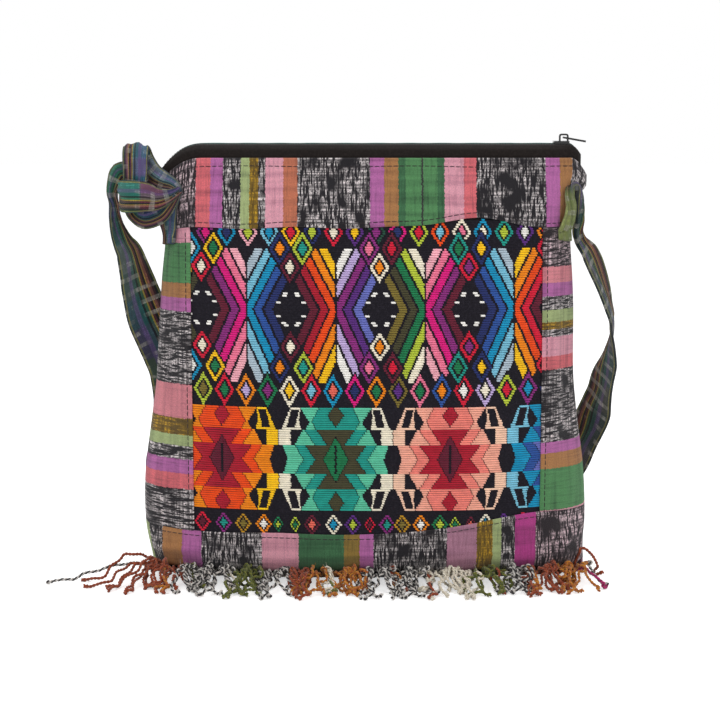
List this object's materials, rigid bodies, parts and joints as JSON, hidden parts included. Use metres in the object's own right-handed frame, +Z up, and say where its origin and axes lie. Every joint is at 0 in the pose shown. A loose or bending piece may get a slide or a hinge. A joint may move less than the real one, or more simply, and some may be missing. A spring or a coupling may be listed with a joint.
{
  "type": "fringe crossbody purse",
  "caption": "Zippered crossbody purse with a brocade panel framed by ikat bands, a knotted cloth strap and a yarn fringe; carries small things on one shoulder.",
  "frame": {"origin": "middle of the flat base, on the surface that the bag stands on", "axes": "+X along the bag's width towards the closed end of the zipper, +Y from front to back, +Z up"},
  "size_m": [0.3399, 0.1361, 0.2619],
  "materials": {
    "ikat_striped": "handwoven cotton with lengthwise ikat stripes, matt",
    "brocade": "raised coloured thread on black cotton ground, matt",
    "lining": "plain dark cotton, matt",
    "zipper_tape": "woven tape, matt",
    "zipper_coil": "black nylon coil, satin",
    "slider": "black enamel, satin",
    "strap": "flat tube of green and blue ikat cotton, matt",
    "yarn": "twisted cotton yarn, fuzzy"
  },
  "bodies": {
    "bag": {"front_top_band": "ikat_striped", "front_bottom_band": "ikat_striped", "front_left_band": "ikat_striped", "front_right_band": "ikat_striped", "back_panel": "ikat_striped", "brocade_panel": "brocade", "lining": "lining", "zipper_tape_front": "zipper_tape", "zipper_tape_back": "zipper_tape", "zipper_coil_front": "zipper_coil", "zipper_coil_back": "zipper_coil", "strap": "strap", "fringe_tuft_01": "yarn", "fringe_tuft_02": "yarn", "fringe_tuft_03": "yarn", "fringe_tuft_04": "yarn", "fringe_tuft_05": "yarn", "fringe_tuft_06": "yarn", "fringe_tuft_07": "yarn", "fringe_tuft_08": "yarn", "fringe_tuft_09": "yarn", "fringe_tuft_10": "yarn", "fringe_tuft_11": "yarn", "fringe_tuft_12": "yarn", "fringe_tuft_13": "yarn", "fringe_tuft_14": "yarn", "fringe_tuft_15": "yarn", "fringe_tuft_16": "yarn"},
    "slider": {"slider_body": "slider"},
    "pull": {"pull_tab": "slider"}
  },
  "joints": [
    {"name": "slider_slide", "type": "slide", "parent": "bag", "child": "slider", "axis": [1, 0, 0], "range_m": [-0.199, 0], "deforming": ["zipper_coil_front", "zipper_coil_back"]},
    {"name": "pull_turn", "type": "hinge", "parent": "slider", "child": "pull", "pos_m": [0.113, 0, 0.25965], "axis": [0, -1, 0], "range_deg": [0, 197]}
  ]
}
